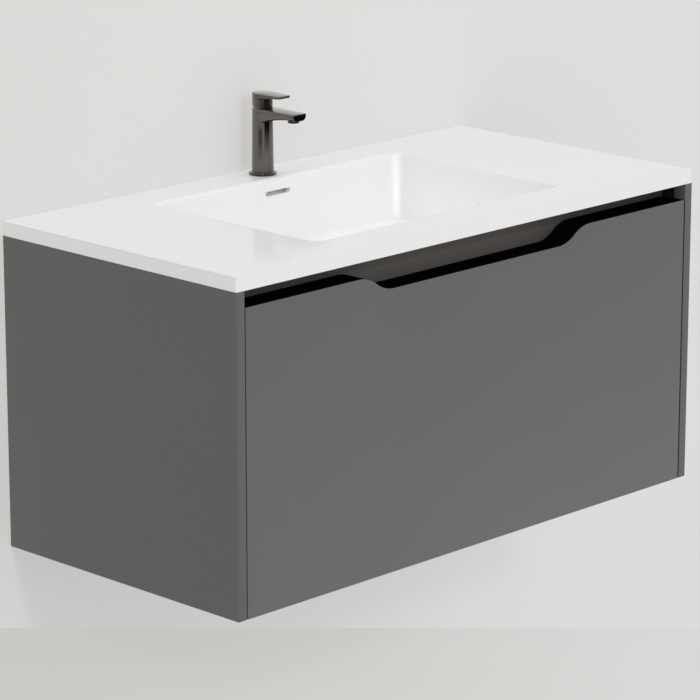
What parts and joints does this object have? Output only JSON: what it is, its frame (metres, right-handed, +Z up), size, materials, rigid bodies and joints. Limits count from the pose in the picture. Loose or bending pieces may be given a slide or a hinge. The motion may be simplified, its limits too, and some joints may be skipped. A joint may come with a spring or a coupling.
{
  "type": "floating vanity",
  "caption": "Wall-hung vanity cabinet with one wide scooped drawer, a cast basin top with overflow and click waste, and a lever tap.",
  "frame": {"origin": "on the wall plane, midway between the four fixing holes of the two wall plates", "axes": "+X to the right along the width, +Y into the wall, +Z up; the drawer opens towards -Y"},
  "size_m": [1, 0.5, 0.6375],
  "materials": {
    "side_lacquer": "satin lacquer over fibreboard",
    "front_lacquer": "satin lacquer over fibreboard",
    "rail_board": "matt decor board",
    "black_board": "matt black decor board",
    "drawer_board": "matt dark grey decor board",
    "basin_cast": "white gloss gel coat over cast mineral",
    "gunmetal": "dark metallic coating, softly brushed",
    "waste_metal": "plated brass",
    "steel": "rolled galvanised sheet",
    "zinc": "die-cast zinc",
    "brass": "plain turned brass",
    "rubber": "black moulded rubber",
    "white_plastic": "moulded plastic",
    "duct_plastic": "moulded plastic",
    "dark_plastic": "moulded plastic",
    "ceramic_grey": "cartridge housing",
    "beech": "fluted beech dowel"
  },
  "bodies": {
    "cabinet": {"side_panel_left": "side_lacquer", "side_panel_right": "side_lacquer", "bottom_panel": "side_lacquer", "back_rail_top": "rail_board", "back_rail_bottom": "rail_board", "front_rail": "rail_board", "carcass_dowels": "beech", "carcass_cams": "zinc", "carcass_cam_bolts": "steel", "wall_plates": "steel", "hanger_left": "white_plastic", "hanger_right": "white_plastic", "hanger_hooks": "steel", "hanger_adjusters": "brass", "hanger_screws": "steel", "basin_top": "basin_cast", "overflow_duct": "duct_plastic", "waste_body": "waste_metal", "waste_gasket": "rubber", "waste_seal": "rubber", "waste_nut": "dark_plastic", "waste_holder": "white_plastic", "tap_body": "gunmetal", "tap_base_seal": "rubber", "tap_cartridge": "ceramic_grey", "cartridge_nut": "waste_metal", "aerator": "dark_plastic", "tap_stud": "brass", "tap_clamp_rubber": "rubber", "tap_clamp_plate": "steel", "tap_clamp_nut": "brass", "closing_buffers": "white_plastic", "runner_fixed_left": "steel", "runner_fixed_right": "steel", "runner_screws": "steel"},
    "drawer": {"drawer_front": "front_lacquer", "drawer_inner_front": "black_board", "drawer_side_left": "drawer_board", "drawer_side_right": "drawer_board", "drawer_back": "drawer_board", "drawer_bottom": "drawer_board", "drawer_screws": "steel", "runner_drawer_left": "steel", "runner_drawer_right": "steel", "runner_clips": "white_plastic"},
    "middle_left": {"runner_middle_left": "steel"},
    "middle_right": {"runner_middle_right": "steel"},
    "lower_balls_left": {"lower_cage_left": "zinc"},
    "lower_balls_right": {"lower_cage_right": "zinc"},
    "upper_balls_left": {"upper_cage_left": "zinc"},
    "upper_balls_right": {"upper_cage_right": "zinc"},
    "tap_rotor": {"cartridge_rotor": "ceramic_grey", "spindle_pin": "steel"},
    "tap_handle": {"tap_spindle": "brass", "tap_lever": "gunmetal", "lever_grub_screw": "steel", "lever_index_plug": "dark_plastic"},
    "plug": {"waste_plug": "waste_metal", "plug_seal": "rubber"}
  },
  "joints": [
    {"name": "drawer_slide", "type": "slide", "parent": "cabinet", "child": "drawer", "axis": [0, -1, 0], "range_m": [0, 0.38]},
    {"name": "middle_left_slide", "type": "slide", "parent": "cabinet", "child": "middle_left", "axis": [0, -1, 0], "range_m": [0, 0.19]},
    {"name": "middle_right_slide", "type": "slide", "parent": "cabinet", "child": "middle_right", "axis": [0, -1, 0], "range_m": [0, 0.19]},
    {"name": "lower_balls_left_roll", "type": "slide", "parent": "cabinet", "child": "lower_balls_left", "axis": [0, -1, 0], "range_m": [0, 0.095]},
    {"name": "lower_balls_right_roll", "type": "slide", "parent": "cabinet", "child": "lower_balls_right", "axis": [0, -1, 0], "range_m": [0, 0.095]},
    {"name": "upper_balls_left_roll", "type": "slide", "parent": "cabinet", "child": "upper_balls_left", "axis": [0, -1, 0], "range_m": [0, 0.285]},
    {"name": "upper_balls_right_roll", "type": "slide", "parent": "cabinet", "child": "upper_balls_right", "axis": [0, -1, 0], "range_m": [0, 0.285]},
    {"name": "lever_turn", "type": "hinge", "parent": "cabinet", "child": "tap_rotor", "pos_m": [0, -0.04, 0.193], "axis": [0, 0, 1], "range_deg": [-45, 45]},
    {"name": "lever_lift", "type": "hinge", "parent": "tap_rotor", "child": "tap_handle", "pos_m": [0, -0.04, 0.193], "axis": [-1, 0, 0], "range_deg": [0, 18]},
    {"name": "plug_press", "type": "slide", "parent": "cabinet", "child": "plug", "axis": [0, 0, -1], "range_m": [0, 0.008], "stiffness_N_per_m": 300, "springref_m": -0.01}
  ],
  "couplings": [
    {"joint": "middle_left_slide", "follows": "drawer_slide", "ratio": 0.5},
    {"joint": "middle_right_slide", "follows": "drawer_slide", "ratio": 0.5},
    {"joint": "lower_balls_left_roll", "follows": "drawer_slide", "ratio": 0.25},
    {"joint": "lower_balls_right_roll", "follows": "drawer_slide", "ratio": 0.25},
    {"joint": "upper_balls_left_roll", "follows": "drawer_slide", "ratio": 0.75},
    {"joint": "upper_balls_right_roll", "follows": "drawer_slide", "ratio": 0.75}
  ]
}
